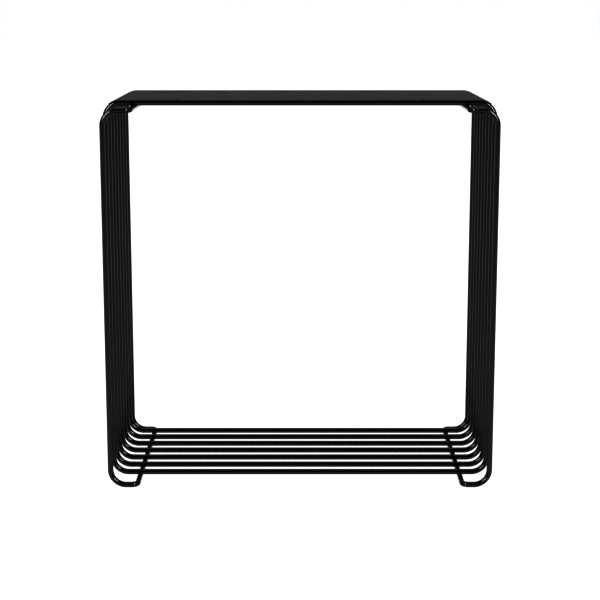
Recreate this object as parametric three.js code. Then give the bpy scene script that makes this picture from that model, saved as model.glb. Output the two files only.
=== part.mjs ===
// Firewood log rack: an open cube of bent round steel wire with a sheet-steel top panel.
//
// Two side frames carry everything. Each is one closed wire: a front post and a back post,
// joined at the bottom by a floor runner and at the top by a crossbar. Seven closed wire loops
// stand in a row between the posts. They lie on the runners and on the crossbars, where they
// are welded. The thin top panel is welded down on their crowns. Its two ends are rolled down
// round their wide bends, and its front and back edges round the first and the last of them.
//
// Millimetres, +Z up. The origin is on the floor, in the middle of the footprint. +X is to the
// right of someone facing the rack, and the logs go in from the front, at -Y.

import * as THREE from "three";

// Driving dimensions
const RACK_WIDTH = 650; // outside the wires, along X
const RACK_DEPTH = 350; // outside the posts, along Y
const FRAME_HEIGHT = 640.5; // side frames, over the wire, along Z
const WIRE_DIAMETER = 9;
const CORNER_RADIUS = 26; // wide bends, at the wire's centre line
const HOOK_RADIUS = 10; // tight bends at the runners' and crossbars' ends, at the centre line
const RUNNER_SPACING = 552; // between the two runners' centre lines
const LOOP_COUNT = 7;
const PANEL_THICKNESS = 0.8;
const PANEL_END_TURN = THREE.MathUtils.degToRad(40); // how far its ends are rolled down
const PANEL_EDGE_TURN = THREE.MathUtils.degToRad(55); // and its front and back edges
const CONTACT_GAP = 0.3; // between pieces that touch, filled by the welds on the real rack

// Fineness of the solids
const WIRE_SIDES = 12;
const CORNER_STEPS = 6;
const HOOK_STEPS = 4;
const PANEL_END_STEPS = 5;
const PANEL_EDGE_STEPS = 4;

// Worked out from the driving dimensions
const WIRE_RADIUS = WIRE_DIAMETER / 2;
const POST_X = RACK_WIDTH / 2 - WIRE_RADIUS;
const POST_Y = RACK_DEPTH / 2 - WIRE_RADIUS;
const RUNNER_X = RUNNER_SPACING / 2;
const RUNNER_Z = WIRE_RADIUS;
const CROSSBAR_Z = FRAME_HEIGHT - WIRE_RADIUS;
const LOOP_RISE = WIRE_DIAMETER + CONTACT_GAP; // a loop's centre line above the wire it lies on
const LOOP_BOTTOM_Z = RUNNER_Z + LOOP_RISE;
const LOOP_TOP_Z = CROSSBAR_Z + LOOP_RISE;
const LOOP_PITCH = (2 * POST_Y) / (LOOP_COUNT + 1); // the loops and the posts are evenly spaced
const PANEL_DEPTH = (LOOP_COUNT - 1) * LOOP_PITCH; // first loop's centre line to the last one's
const PANEL_EDGE_RADIUS = WIRE_RADIUS + CONTACT_GAP; // inside its rolled edges

// The faceted section's flats lie at the wire's radius and face along the row axes, so that the
// runners rest on real flat faces and the overall size is exact.
const SECTION_RADIUS = WIRE_RADIUS / Math.cos(Math.PI / WIRE_SIDES);
const SECTION_TURN = Math.PI / WIRE_SIDES;

/** A stretch of wire that runs straight from one point to the next, in one step. */
function straight(from, to) {
  return { steps: 1, at: (k) => from.clone().lerp(to, k) };
}

/** A quarter bend about `centre`, from centre + `first` round to centre + `last`. */
function bend(centre, first, last, steps) {
  const at = (k) => {
    const angle = (k * Math.PI) / 2;
    return centre
      .clone()
      .addScaledVector(first, Math.cos(angle))
      .addScaledVector(last, Math.sin(angle));
  };
  return { steps, at };
}

/** The centre line of a closed wire, with a step count of its own for each stretch. */
class WireCentreLine extends THREE.Curve {
  constructor(stretches) {
    super();
    this.stretches = stretches;
    this.steps = stretches.reduce((sum, stretch) => sum + stretch.steps, 0);
  }

  getPoint(t) {
    let left = t * this.steps;
    for (const stretch of this.stretches) {
      if (left <= stretch.steps) return stretch.at(left / stretch.steps);
      left -= stretch.steps;
    }
    return this.stretches.at(-1).at(1);
  }

  // Sections go where the steps are, not at equal lengths along the wire.
  getUtoTmapping(u) {
    return u;
  }

  // The sections are turned by half a side, so that flats and not corners face along the axes.
  computeFrenetFrames(segments, closed) {
    const frames = super.computeFrenetFrames(segments, closed);
    frames.tangents.forEach((tangent, i) => {
      frames.normals[i].applyAxisAngle(tangent, SECTION_TURN);
      frames.binormals[i].applyAxisAngle(tangent, SECTION_TURN);
    });
    return frames;
  }
}

/**
 * Rounds the corners of a closed outline. Each corner is {x, y, z, radius, steps}, each leg runs
 * along an axis, and the outline starts halfway along the leg from its last corner to its first.
 */
function roundedCentreLine(corners) {
  const points = corners.map((corner) => new THREE.Vector3(corner.x, corner.y, corner.z));
  const count = corners.length;
  const start = points[count - 1].clone().lerp(points[0], 0.5);
  const stretches = [];
  let from = start;
  points.forEach((point, i) => {
    const { radius, steps } = corners[i];
    const before = points[(i + count - 1) % count];
    const after = points[(i + 1) % count];
    const back = before.clone().sub(point).setLength(radius);
    const ahead = after.clone().sub(point).setLength(radius);
    const centre = point.clone().add(back).add(ahead);
    stretches.push(straight(from, point.clone().add(back)));
    stretches.push(bend(centre, ahead.clone().negate(), back.clone().negate(), steps));
    from = point.clone().add(ahead);
  });
  stretches.push(straight(from, start));
  return new WireCentreLine(stretches);
}

function wireGeometry(centreLine) {
  return new THREE.TubeGeometry(centreLine, centreLine.steps, SECTION_RADIUS, WIRE_SIDES, true);
}

const wireCoating = new THREE.MeshStandardMaterial({
  color: 0x0c0c0d,
  roughness: 0.38,
  metalness: 0.0,
});
const panelCoating = new THREE.MeshStandardMaterial({
  color: 0x101011,
  roughness: 0.45,
  metalness: 0.0,
});

/** One closed wire on the side given by `side` (-1 left, +1 right). */
function sideFrame(name, side) {
  const wide = { radius: CORNER_RADIUS, steps: CORNER_STEPS };
  const tight = { radius: HOOK_RADIUS, steps: HOOK_STEPS };
  const inner = side * RUNNER_X;
  const outer = side * POST_X;
  const centreLine = roundedCentreLine([
    { x: inner, y: -POST_Y, z: RUNNER_Z, ...tight },
    { x: outer, y: -POST_Y, z: RUNNER_Z, ...wide },
    { x: outer, y: -POST_Y, z: CROSSBAR_Z, ...wide },
    { x: inner, y: -POST_Y, z: CROSSBAR_Z, ...tight },
    { x: inner, y: POST_Y, z: CROSSBAR_Z, ...tight },
    { x: outer, y: POST_Y, z: CROSSBAR_Z, ...wide },
    { x: outer, y: POST_Y, z: RUNNER_Z, ...wide },
    { x: inner, y: POST_Y, z: RUNNER_Z, ...tight },
  ]);
  const mesh = new THREE.Mesh(wireGeometry(centreLine), wireCoating);
  mesh.name = name;
  return mesh;
}

/** One closed upright loop, centred on its own plane; it is moved to its place in the row. */
function wireLoop(number) {
  const wide = { radius: CORNER_RADIUS, steps: CORNER_STEPS };
  const centreLine = roundedCentreLine([
    { x: POST_X, y: 0, z: LOOP_BOTTOM_Z, ...wide },
    { x: POST_X, y: 0, z: LOOP_TOP_Z, ...wide },
    { x: -POST_X, y: 0, z: LOOP_TOP_Z, ...wide },
    { x: -POST_X, y: 0, z: LOOP_BOTTOM_Z, ...wide },
  ]);
  const mesh = new THREE.Mesh(wireGeometry(centreLine), wireCoating);
  mesh.name = `wire_loop_${number}`;
  mesh.position.y = -POST_Y + number * LOOP_PITCH;
  return mesh;
}

/** Places across the panel: rolled down at one end, straight, and rolled down at the other. */
function rolledPlaces(halfStraight, fullTurn, steps) {
  const places = [];
  for (let i = steps; i >= 0; i -= 1) {
    places.push({ from: -halfStraight, turn: (-fullTurn * i) / steps });
  }
  for (let i = 0; i <= steps; i += 1) {
    places.push({ from: halfStraight, turn: (fullTurn * i) / steps });
  }
  return places;
}

/** The point at `rise` above the panel's underside, at a place along X and a place along Y. */
function panelPoint(end, edge, rise) {
  const edgeRadius = PANEL_EDGE_RADIUS + rise;
  const endRadius = CORNER_RADIUS + edgeRadius * Math.cos(edge.turn);
  const x = end.from + endRadius * Math.sin(end.turn);
  const y = edge.from + edgeRadius * Math.sin(edge.turn);
  const z = LOOP_TOP_Z - CORNER_RADIUS + endRadius * Math.cos(end.turn);
  return [x, y, z];
}

/** The sheet on the loops' crowns, as a row of closed sections that each run from back to front. */
function topPanel() {
  const ends = rolledPlaces(POST_X - CORNER_RADIUS, PANEL_END_TURN, PANEL_END_STEPS);
  const edges = rolledPlaces(PANEL_DEPTH / 2, PANEL_EDGE_TURN, PANEL_EDGE_STEPS);
  const across = edges.length;
  const around = 2 * across;
  const positions = [];
  const triangles = [];
  const quad = (a, b, c, d) => triangles.push(a, b, c, a, c, d);
  for (const end of ends) {
    for (const edge of edges.toReversed()) {
      positions.push(...panelPoint(end, edge, PANEL_THICKNESS));
    }
    for (const edge of edges) {
      positions.push(...panelPoint(end, edge, 0));
    }
  }
  for (let i = 0; i < ends.length - 1; i += 1) {
    for (let k = 0; k < around; k += 1) {
      const next = (k + 1) % around;
      quad(i * around + k, i * around + next, (i + 1) * around + next, (i + 1) * around + k);
    }
  }
  const last = (ends.length - 1) * around;
  for (let k = 0; k < across - 1; k += 1) {
    const below = around - 1 - k;
    quad(k, below, below - 1, k + 1);
    quad(last + k, last + k + 1, last + below - 1, last + below);
  }
  const sheet = new THREE.BufferGeometry();
  sheet.setAttribute("position", new THREE.Float32BufferAttribute(positions, 3));
  sheet.setIndex(triangles);
  sheet.computeVertexNormals();
  const mesh = new THREE.Mesh(sheet, panelCoating);
  mesh.name = "top_panel";
  return mesh;
}

const logRack = new THREE.Group();
logRack.name = "log_rack";
logRack.add(sideFrame("side_frame_left", -1));
logRack.add(sideFrame("side_frame_right", 1));
for (let number = 1; number <= LOOP_COUNT; number += 1) {
  logRack.add(wireLoop(number));
}
logRack.add(topPanel());

export default logRack;
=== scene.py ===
"""Firewood log rack: satin black powder-coated wires, their welds and a thin top panel.

It is built on the CAD frame, in metres and in the CAD model's own axes: +Z up, the front at -Y and the
floor at Z = 0.
"""

import math

import bpy
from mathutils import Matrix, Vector, noise


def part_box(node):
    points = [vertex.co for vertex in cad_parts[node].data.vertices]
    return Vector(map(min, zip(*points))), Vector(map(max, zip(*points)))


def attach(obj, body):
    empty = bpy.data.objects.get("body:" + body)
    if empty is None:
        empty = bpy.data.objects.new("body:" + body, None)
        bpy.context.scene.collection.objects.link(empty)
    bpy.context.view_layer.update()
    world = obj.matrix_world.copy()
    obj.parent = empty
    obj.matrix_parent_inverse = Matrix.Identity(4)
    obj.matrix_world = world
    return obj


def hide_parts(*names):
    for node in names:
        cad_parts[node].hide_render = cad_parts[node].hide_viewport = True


MM = 0.001
QUARTER_TURN = math.pi / 2

# Bends, at the wires' centre lines
CORNER_RADIUS = 26 * MM
HOOK_RADIUS = 10 * MM
CORNER_STEPS = 20
HOOK_STEPS = 14
WIRE_SIDES = 32
STRAIGHT_STEP = 30 * MM

# Beads of weld where two wires cross, and tacks between the loops and the panel
WELD_REACH = 3.4 * MM
WELD_WAIST = 0.3  # share of the reach taken away half way up
WELD_SUNK = 0.15 * MM  # into the surfaces that it joins
WELD_SIDES = 28
WELD_RINGS = 7
WELD_UNEVENNESS = 0.12
TACK_X = (-0.2, 0.0, 0.2)

# The sheet of the top panel
PANEL_THICKNESS = 0.8 * MM
PANEL_CORNER_RADIUS = 3 * MM
PANEL_CORNER_STEPS = 8
PANEL_ROLL_STEPS = 14
PANEL_EDGE_STEPS = 6
PANEL_THINNEST = 0.04 * MM  # half of the sheet's thickness at the very tip of its rounded rim
PANEL_EDGE_SUPPORT = 1.5 * MM  # width of the strip of faces beside the rounded rim

# Powder coat
COAT_DARK = (0.0034, 0.0034, 0.0036, 1)
COAT_LIGHT = (0.0048, 0.0048, 0.0051, 1)
COAT_SPECULAR = 0.85
WIRE_ROUGHNESS = 0.16
PANEL_ROUGHNESS = 0.3
GLOSS_CHANGE = 0.12  # share by which the clouds change the roughness, either way
CLOUD_SIZE = 35 * MM
CLOUD_RANGE = (0.3, 0.7)  # of the noise, from the glossiest places to the dullest

# Orange peel, as grain size, depth and strength
WIRE_PEEL_SIZE = 1.3 * MM
PANEL_PEEL_SIZE = 1.6 * MM
PEEL_DEPTH = 0.05 * MM
PEEL_STRENGTH = 0.5

# Scuffs on what stands on the floor
BARE_STEEL = (0.09, 0.088, 0.085, 1)
SCUFF_SIZE = 2.5 * MM
SCUFF_HEIGHT = 0.7 * MM  # above the floor, where they end
SCUFF_RANGE = (0.5, 0.6)  # of the noise, from an unworn coat to bare steel

# Camera, as the rack is seen from in front
CAMERA_DISTANCE = 2.461  # in front of the front posts' centre plane
CAMERA_HEIGHT = 0.808
CAMERA_TILT = math.radians(11.14)  # below the horizontal
CAMERA_LENS = 90.9
CAMERA_SENSOR = 36.0

# Brightness of the studio that the gloss sees, from straight down (0) to straight up (1),
# as a share of the light panel overhead
STUDIO_BRIGHTEST = 2.8
STUDIO_BEHIND = [
    (0.0, 0.2), (0.3, 0.22), (0.42, 0.48), (0.49, 0.48), (0.5, 0.16), (0.8, 0.16), (0.93, 0.6),
    (1.0, 1.0),
]
STUDIO_IN_FRONT = [
    (0.0, 0.3), (0.2, 0.5), (0.35, 0.55), (0.43, 0.36), (0.48, 0.3), (0.51, 0.007), (0.97, 0.007),
    (0.985, 1.0), (1.0, 1.0),
]
STUDIO_SPLIT = 0.25  # how gradually one gives way to the other, as a share of the direction's Y

# Two tall softboxes in front, on the left and on the right, flagged off the panel
SOFTBOX_PLACE = Vector((3.5, -4.6, 2.7))
SOFTBOX_AIM = Vector((0, 0, 0.33))
SOFTBOX_WIDTH = 1.2
SOFTBOX_HEIGHT = 2.8
SOFTBOX_POWER = 320

# White paper under the rack, which glows so that it stays white from every side
PAPER_SIZE = 60
PAPER_GREY = (0.2, 0.2, 0.2, 1)
PAPER_ROUGHNESS = 0.9
PAPER_GLOW = 0.98

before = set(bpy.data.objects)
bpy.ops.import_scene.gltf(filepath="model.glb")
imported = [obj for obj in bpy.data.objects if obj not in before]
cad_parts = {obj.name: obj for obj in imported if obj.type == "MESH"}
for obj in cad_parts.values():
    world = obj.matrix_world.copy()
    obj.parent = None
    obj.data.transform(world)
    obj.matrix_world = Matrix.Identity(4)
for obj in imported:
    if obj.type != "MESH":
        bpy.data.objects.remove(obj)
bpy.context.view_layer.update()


# ---------------------------------------------------------------- measures taken from the frame

loop_names = sorted(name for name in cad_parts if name.startswith("wire_loop_"))
first_loop_low, first_loop_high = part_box(loop_names[0])
right_low, right_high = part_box("side_frame_right")
panel_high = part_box("top_panel")[1]

WIRE_RADIUS = (first_loop_high.y - first_loop_low.y) / 2
POST_X = right_high.x - WIRE_RADIUS
POST_Y = right_high.y - WIRE_RADIUS
RUNNER_X = right_low.x + WIRE_RADIUS
RUNNER_Z = right_low.z + WIRE_RADIUS
CROSSBAR_Z = right_high.z - WIRE_RADIUS
LOOP_BOTTOM_Z = first_loop_low.z + WIRE_RADIUS
LOOP_TOP_Z = first_loop_high.z - WIRE_RADIUS

# The middle of the panel's sheet: flat up to FLAT_X and FLAT_Y, and rolled down past them, round
# the loops' bends at its ends and round the first and the last loop at its front and back edges
FLAT_X = POST_X - CORNER_RADIUS
FLAT_Y = -(first_loop_low.y + first_loop_high.y) / 2
EDGE_RADIUS = panel_high.z - PANEL_THICKNESS / 2 - LOOP_TOP_Z
END_RADIUS = CORNER_RADIUS + EDGE_RADIUS


# ---------------------------------------------------------------- meshes in general


def band_faces(here, there, sides):
    """Faces between two closed rings of vertices, which begin at the indices here and there."""
    faces = []
    for k in range(sides):
        m = (k + 1) % sides
        faces.append((here + k, here + m, there + m, there + k))
    return faces


def smooth_mesh(name, vertices, faces):
    mesh = bpy.data.meshes.new(name)
    mesh.from_pydata(vertices, [], faces)
    mesh.polygons.foreach_set("use_smooth", [True] * len(faces))
    return mesh


def add_piece(name, mesh, material, node=None):
    piece = bpy.data.objects.new(name, mesh)
    bpy.context.scene.collection.objects.link(piece)
    mesh.materials.append(material)
    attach(piece, "root")
    if node:
        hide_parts(node)
    return piece


# ---------------------------------------------------------------- wires


def straight_points(start, end):
    """Points from start up to, but not including, end."""
    count = max(1, round((end - start).length / STRAIGHT_STEP))
    return [start.lerp(end, i / count) for i in range(count)]


def bend_points(centre, first, last, steps):
    """A quarter bend about centre, from centre + first up to, but not including, centre + last."""
    points = []
    for i in range(steps):
        angle = QUARTER_TURN * i / steps
        points.append(centre + first * math.cos(angle) + last * math.sin(angle))
    return points


def rounded_centre_line(corners):
    """A closed outline with round corners. Each corner is (point, radius, steps)."""
    points = []
    count = len(corners)
    start = corners[-1][0].lerp(corners[0][0], 0.5)
    position = start
    for i, (corner, radius, steps) in enumerate(corners):
        back = (corners[i - 1][0] - corner).normalized() * radius
        ahead = (corners[(i + 1) % count][0] - corner).normalized() * radius
        points += straight_points(position, corner + back)
        points += bend_points(corner + back + ahead, -ahead, -back, steps)
        position = corner + ahead
    return points + straight_points(position, start)


def tube_mesh(name, points):
    """A closed round tube along a closed run of points, its sections carried round without twist."""
    count = len(points)
    tangents = []
    for i in range(count):
        tangents.append((points[(i + 1) % count] - points[i - 1]).normalized())
    side = tangents[0].orthogonal().normalized()
    vertices = []
    for i, point in enumerate(points):
        if i:
            side = tangents[i - 1].rotation_difference(tangents[i]) @ side
        side = (side - tangents[i] * side.dot(tangents[i])).normalized()
        other = tangents[i].cross(side)
        for k in range(WIRE_SIDES):
            angle = math.tau * k / WIRE_SIDES
            vertices.append(point + (side * math.cos(angle) + other * math.sin(angle)) * WIRE_RADIUS)
    faces = []
    for i in range(count):
        faces += band_faces(i * WIRE_SIDES, ((i + 1) % count) * WIRE_SIDES, WIRE_SIDES)
    return smooth_mesh(name, vertices, faces)


def side_frame_line(side):
    inner = side * RUNNER_X
    outer = side * POST_X
    wide = (CORNER_RADIUS, CORNER_STEPS)
    tight = (HOOK_RADIUS, HOOK_STEPS)
    return rounded_centre_line([
        (Vector((inner, -POST_Y, RUNNER_Z)), *tight),
        (Vector((outer, -POST_Y, RUNNER_Z)), *wide),
        (Vector((outer, -POST_Y, CROSSBAR_Z)), *wide),
        (Vector((inner, -POST_Y, CROSSBAR_Z)), *tight),
        (Vector((inner, POST_Y, CROSSBAR_Z)), *tight),
        (Vector((outer, POST_Y, CROSSBAR_Z)), *wide),
        (Vector((outer, POST_Y, RUNNER_Z)), *wide),
        (Vector((inner, POST_Y, RUNNER_Z)), *tight),
    ])


def loop_line(y):
    wide = (CORNER_RADIUS, CORNER_STEPS)
    return rounded_centre_line([
        (Vector((POST_X, y, LOOP_BOTTOM_Z)), *wide),
        (Vector((POST_X, y, LOOP_TOP_Z)), *wide),
        (Vector((-POST_X, y, LOOP_TOP_Z)), *wide),
        (Vector((-POST_X, y, LOOP_BOTTOM_Z)), *wide),
    ])


# ---------------------------------------------------------------- welds


def drop_from_crown(offset):
    """How far a wire's surface lies from its crown, offset to one side of it."""
    return WIRE_RADIUS - math.sqrt(WIRE_RADIUS ** 2 - offset ** 2)


def add_bead(vertices, faces, centre, low_surface, high_surface):
    """A narrow-waisted bead that bridges two surfaces, each given as a height over (dx, dy)."""
    first = len(vertices)
    for level in range(WELD_RINGS):
        share = level / (WELD_RINGS - 1)
        reach = WELD_REACH * (1 - WELD_WAIST * math.sin(math.pi * share))
        for k in range(WELD_SIDES):
            angle = math.tau * k / WELD_SIDES
            way = Vector((math.cos(angle), math.sin(angle), 0))
            lump = 1 + WELD_UNEVENNESS * noise.noise(centre * 1000 + way + Vector((0, 0, share)))
            x, y = (way * reach * lump).xy
            low = low_surface(x, y) - WELD_SUNK
            high = high_surface(x, y) + WELD_SUNK
            vertices.append((centre.x + x, centre.y + y, low + (high - low) * share))
    for level in range(WELD_RINGS - 1):
        here = first + level * WELD_SIDES
        faces += band_faces(here, here + WELD_SIDES, WELD_SIDES)


def weld_mesh(rows):
    """A bead at each crossing of the loops with the runners and the crossbars."""
    vertices = []
    faces = []
    for y in rows:
        for x in (-RUNNER_X, RUNNER_X):
            for low_z, high_z in ((RUNNER_Z, LOOP_BOTTOM_Z), (CROSSBAR_Z, LOOP_TOP_Z)):
                # The lower wire runs along Y and the upper one along X.
                add_bead(
                    vertices, faces, Vector((x, y, low_z)),
                    lambda dx, dy: low_z + WIRE_RADIUS - drop_from_crown(dx),
                    lambda dx, dy: high_z - WIRE_RADIUS + drop_from_crown(dy),
                )
    return smooth_mesh("weld_beads", vertices, faces)


def tack_mesh(rows):
    """Tacks between the tops of the loops and the underside of the panel."""
    vertices = []
    faces = []
    for y in rows:
        for x in TACK_X:
            add_bead(
                vertices, faces, Vector((x, y, LOOP_TOP_Z)),
                lambda dx, dy: LOOP_TOP_Z + WIRE_RADIUS - drop_from_crown(dy),
                lambda dx, dy: panel_high.z - PANEL_THICKNESS,
            )
    return smooth_mesh("panel_tacks", vertices, faces)


# ---------------------------------------------------------------- top panel


def panel_reach(flat, high, radius):
    """Half of the sheet's length, measured along it, from the outer size of its node."""
    return flat + radius * math.asin((high - flat) / (radius + PANEL_THICKNESS / 2))


def rolled_places(flat, end):
    """Evenly spaced distances from where the sheet begins to roll down to where that ends."""
    return [flat + (end - flat) * step / PANEL_ROLL_STEPS for step in range(PANEL_ROLL_STEPS + 1)]


def both_ways(places):
    return [-place for place in reversed(places)] + places


def places_along(reach):
    """Distances from the middle, along the sheet's width, at which it has a section."""
    corner = reach - PANEL_CORNER_RADIUS
    places = rolled_places(FLAT_X, corner)
    for step in range(1, PANEL_CORNER_STEPS + 1):
        places.append(corner + PANEL_CORNER_RADIUS * math.sin(QUARTER_TURN * step / PANEL_CORNER_STEPS))
    return both_ways(places)


def rounded_off(depth, limit):
    """What a quarter circle of radius limit leaves, at depth inside its outer edge."""
    if depth >= limit:
        return limit
    return math.sqrt(max(0.0, limit ** 2 - (limit - depth) ** 2))


def panel_section(reach, half):
    """Points (across, rise) round a section of the sheet, from its rounded back edge on."""
    straight = reach - half
    places = both_ways(rolled_places(FLAT_Y, straight - PANEL_EDGE_SUPPORT))
    points = []
    for side in (1, -1):
        for step in range(PANEL_EDGE_STEPS + 1):
            angle = math.pi * (step / PANEL_EDGE_STEPS - 0.5)
            points.append((side * (straight + half * math.cos(angle)), side * half * math.sin(angle)))
        for place in reversed(places):
            points.append((side * place, side * half))
    return points


def on_panel(along, across, rise):
    """The point at a rise above the middle of the sheet, at distances measured along the sheet."""
    edge_turn = max(0.0, abs(across) - FLAT_Y) / EDGE_RADIUS
    edge_radius = EDGE_RADIUS + rise
    y = min(abs(across), FLAT_Y) + edge_radius * math.sin(edge_turn)
    end_turn = max(0.0, abs(along) - FLAT_X) / END_RADIUS
    end_radius = CORNER_RADIUS + edge_radius * math.cos(edge_turn)
    x = min(abs(along), FLAT_X) + end_radius * math.sin(end_turn)
    z = LOOP_TOP_Z - CORNER_RADIUS + end_radius * math.cos(end_turn)
    return (math.copysign(x, along), math.copysign(y, across), z)


def panel_mesh():
    """A thin sheet whose rim is rounded over by its coat."""
    vertices = []
    reach_x = panel_reach(FLAT_X, panel_high.x, END_RADIUS)
    reach_y = panel_reach(FLAT_Y, panel_high.y, EDGE_RADIUS)
    places = places_along(reach_x)
    for along in places:
        left = reach_x - abs(along)
        cut = PANEL_CORNER_RADIUS - rounded_off(left, PANEL_CORNER_RADIUS)
        half = max(PANEL_THINNEST, rounded_off(left, PANEL_THICKNESS / 2))
        for across, rise in panel_section(reach_y - cut, half):
            vertices.append(on_panel(along, across, rise))
    sides = len(vertices) // len(places)
    faces = []
    for i in range(len(places) - 1):
        faces += band_faces(i * sides, (i + 1) * sides, sides)
    faces.append(tuple(reversed(range(sides))))
    faces.append(tuple(range(len(vertices) - sides, len(vertices))))
    return smooth_mesh("top_panel", vertices, faces)


# ---------------------------------------------------------------- materials


def noise_texture(tree, coordinates, size, detail):
    texture = tree.nodes.new("ShaderNodeTexNoise")
    texture.inputs["Scale"].default_value = 1 / size
    texture.inputs["Detail"].default_value = detail
    tree.links.new(coordinates, texture.inputs["Vector"])
    return texture.outputs["Fac"]


def map_range(tree, value, low, high, new_low=0.0, new_high=1.0):
    """value rescaled so that low gives new_low and high gives new_high."""
    mapped = tree.nodes.new("ShaderNodeMapRange")
    mapped.inputs["From Min"].default_value = low
    mapped.inputs["From Max"].default_value = high
    mapped.inputs["To Min"].default_value = new_low
    mapped.inputs["To Max"].default_value = new_high
    tree.links.new(value, mapped.inputs["Value"])
    return mapped.outputs["Result"]


def scuffs(tree, coordinates):
    """Where the coat is worn: in specks on whatever stands on the floor."""
    height = tree.nodes.new("ShaderNodeSeparateXYZ")
    tree.links.new(coordinates, height.inputs["Vector"])
    near_floor = map_range(tree, height.outputs["Z"], SCUFF_HEIGHT, 0)
    specks = map_range(tree, noise_texture(tree, coordinates, SCUFF_SIZE, 4), *SCUFF_RANGE)
    both = tree.nodes.new("ShaderNodeMath")
    both.operation = "MULTIPLY"
    tree.links.new(near_floor, both.inputs[0])
    tree.links.new(specks, both.inputs[1])
    return both.outputs["Value"]


def mixed_colour(tree, factor, first, second):
    """One colour giving way to another by factor. Each is an output or a plain colour."""
    mix = tree.nodes.new("ShaderNodeMix")
    mix.data_type = "RGBA"
    tree.links.new(factor, mix.inputs["Factor"])
    for socket, colour in ((mix.inputs[6], first), (mix.inputs[7], second)):
        if isinstance(colour, tuple):
            socket.default_value = colour
        else:
            tree.links.new(colour, socket)
    return mix.outputs[2]


def coated_steel(name, roughness, peel_size):
    """Satin black powder coat: orange peel, a cloudy change of gloss and tone, and scuffed feet."""
    material = bpy.data.materials.new(name)
    material.use_nodes = True
    tree = material.node_tree
    shader = tree.nodes["Principled BSDF"]
    shader.inputs["Specular IOR Level"].default_value = COAT_SPECULAR
    place = tree.nodes.new("ShaderNodeTexCoord").outputs["Object"]
    cloud = noise_texture(tree, place, CLOUD_SIZE, 3)
    glossiest = roughness * (1 - GLOSS_CHANGE)
    dullest = roughness * (1 + GLOSS_CHANGE)
    clouded = map_range(tree, cloud, *CLOUD_RANGE, glossiest, dullest)
    tree.links.new(clouded, shader.inputs["Roughness"])
    coat = mixed_colour(tree, cloud, COAT_DARK, COAT_LIGHT)
    colour = mixed_colour(tree, scuffs(tree, place), coat, BARE_STEEL)
    tree.links.new(colour, shader.inputs["Base Color"])
    bump = tree.nodes.new("ShaderNodeBump")
    bump.inputs["Strength"].default_value = PEEL_STRENGTH
    bump.inputs["Distance"].default_value = PEEL_DEPTH
    tree.links.new(noise_texture(tree, place, peel_size, 2), bump.inputs["Height"])
    tree.links.new(bump.outputs["Normal"], shader.inputs["Normal"])
    return material


# ---------------------------------------------------------------- stage, light and camera


def add_floor():
    bpy.ops.mesh.primitive_plane_add(size=PAPER_SIZE, location=(0, 0, 0))
    floor = bpy.context.object
    floor.name = "floor"
    material = bpy.data.materials.new("floor_paper")
    material.use_nodes = True
    shader = material.node_tree.nodes["Principled BSDF"]
    shader.inputs["Base Color"].default_value = PAPER_GREY
    shader.inputs["Roughness"].default_value = PAPER_ROUGHNESS
    shader.inputs["Specular IOR Level"].default_value = 0.0
    shader.inputs["Emission Color"].default_value = (1, 1, 1, 1)
    shader.inputs["Emission Strength"].default_value = PAPER_GLOW
    floor.data.materials.append(material)
    floor.visible_glossy = False


def add_softbox(name, side, lit_pieces):
    """A softbox on one side, which lights only the pieces in a collection."""
    light = bpy.data.lights.new(name, "AREA")
    light.shape = "RECTANGLE"
    light.size = SOFTBOX_WIDTH
    light.size_y = SOFTBOX_HEIGHT
    light.energy = SOFTBOX_POWER
    lamp = bpy.data.objects.new(name, light)
    bpy.context.scene.collection.objects.link(lamp)
    lamp.location = SOFTBOX_PLACE * Vector((side, 1, 1))
    lamp.rotation_euler = (SOFTBOX_AIM - lamp.location).to_track_quat("-Z", "Y").to_euler()
    lamp.visible_camera = False
    lamp.light_linking.receiver_collection = lit_pieces


def add_softboxes(wires):
    lit_pieces = bpy.data.collections.new("lit_by_softboxes")
    for wire in wires:
        lit_pieces.objects.link(wire)
    add_softbox("softbox_left", -1, lit_pieces)
    add_softbox("softbox_right", 1, lit_pieces)


def studio_ramp(tree, value, stops):
    """A colour ramp with (position, grey level) stops."""
    ramp = tree.nodes.new("ShaderNodeValToRGB")
    elements = ramp.color_ramp.elements
    while len(elements) > 1:
        elements.remove(elements[-1])
    elements[0].position = stops[0][0]
    elements[0].color = (stops[0][1],) * 3 + (1,)
    for position, grey in stops[1:]:
        elements.new(position).color = (grey, grey, grey, 1)
    tree.links.new(value, ramp.inputs["Fac"])
    return ramp.outputs["Color"]


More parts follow.
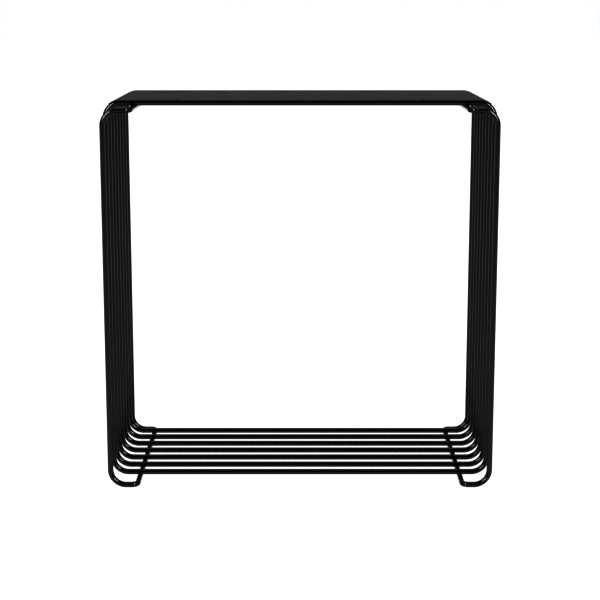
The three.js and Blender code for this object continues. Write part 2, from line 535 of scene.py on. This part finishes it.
def add_world():
    """A white surround for the camera; the gloss reflects a white studio that is dark in front."""
    world = bpy.data.worlds.new("studio")
    bpy.context.scene.world = world
    world.use_nodes = True
    tree = world.node_tree
    tree.nodes.clear()
    direction = tree.nodes.new("ShaderNodeTexCoord")
    split = tree.nodes.new("ShaderNodeSeparateXYZ")
    tree.links.new(direction.outputs["Generated"], split.inputs["Vector"])
    height = map_range(tree, split.outputs["Z"], -1, 1)
    depth = map_range(tree, split.outputs["Y"], -STUDIO_SPLIT, STUDIO_SPLIT)
    in_front = studio_ramp(tree, height, STUDIO_IN_FRONT)
    behind = studio_ramp(tree, height, STUDIO_BEHIND)
    blend = mixed_colour(tree, depth, in_front, behind)
    studio = tree.nodes.new("ShaderNodeBackground")
    studio.inputs["Strength"].default_value = STUDIO_BRIGHTEST
    tree.links.new(blend, studio.inputs["Color"])
    white = tree.nodes.new("ShaderNodeBackground")
    white.inputs["Color"].default_value = (1, 1, 1, 1)
    path = tree.nodes.new("ShaderNodeLightPath")
    either = tree.nodes.new("ShaderNodeMixShader")
    output = tree.nodes.new("ShaderNodeOutputWorld")
    tree.links.new(path.outputs["Is Camera Ray"], either.inputs["Fac"])
    tree.links.new(studio.outputs["Background"], either.inputs[1])
    tree.links.new(white.outputs["Background"], either.inputs[2])
    tree.links.new(either.outputs["Shader"], output.inputs["Surface"])


def add_camera():
    camera_data = bpy.data.cameras.new("camera")
    camera_data.lens = CAMERA_LENS
    camera_data.sensor_width = CAMERA_SENSOR
    camera = bpy.data.objects.new("camera", camera_data)
    bpy.context.scene.collection.objects.link(camera)
    camera.location = (0, -POST_Y - CAMERA_DISTANCE, CAMERA_HEIGHT)
    camera.rotation_euler = (QUARTER_TURN - CAMERA_TILT, 0, 0)
    bpy.context.scene.camera = camera


# ---------------------------------------------------------------- build

wire_coat = coated_steel("wire_coat", WIRE_ROUGHNESS, WIRE_PEEL_SIZE)
panel_coat = coated_steel("panel_coat", PANEL_ROUGHNESS, PANEL_PEEL_SIZE)

wires = []
for name, side in (("side_frame_left", -1), ("side_frame_right", 1)):
    mesh = tube_mesh(name, side_frame_line(side))
    wires.append(add_piece(name + "_wire", mesh, wire_coat, name))
loop_rows = []
for name in loop_names:
    low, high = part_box(name)
    row = (low.y + high.y) / 2
    loop_rows.append(row)
    mesh = tube_mesh(name, loop_line(row))
    wires.append(add_piece(name + "_wire", mesh, wire_coat, name))
add_piece("weld_beads", weld_mesh(loop_rows), wire_coat)
add_piece("panel_tacks", tack_mesh(loop_rows), wire_coat)
add_piece("top_panel_sheet", panel_mesh(), panel_coat, "top_panel")

add_floor()
add_world()
add_softboxes(wires)
add_camera()

# A gamma of 1/2.2 undoes the Standard view's curve, so that the picture's tones follow radiance.
bpy.context.scene.view_settings.view_transform = "Standard"
bpy.context.scene.view_settings.gamma = 1 / 2.2
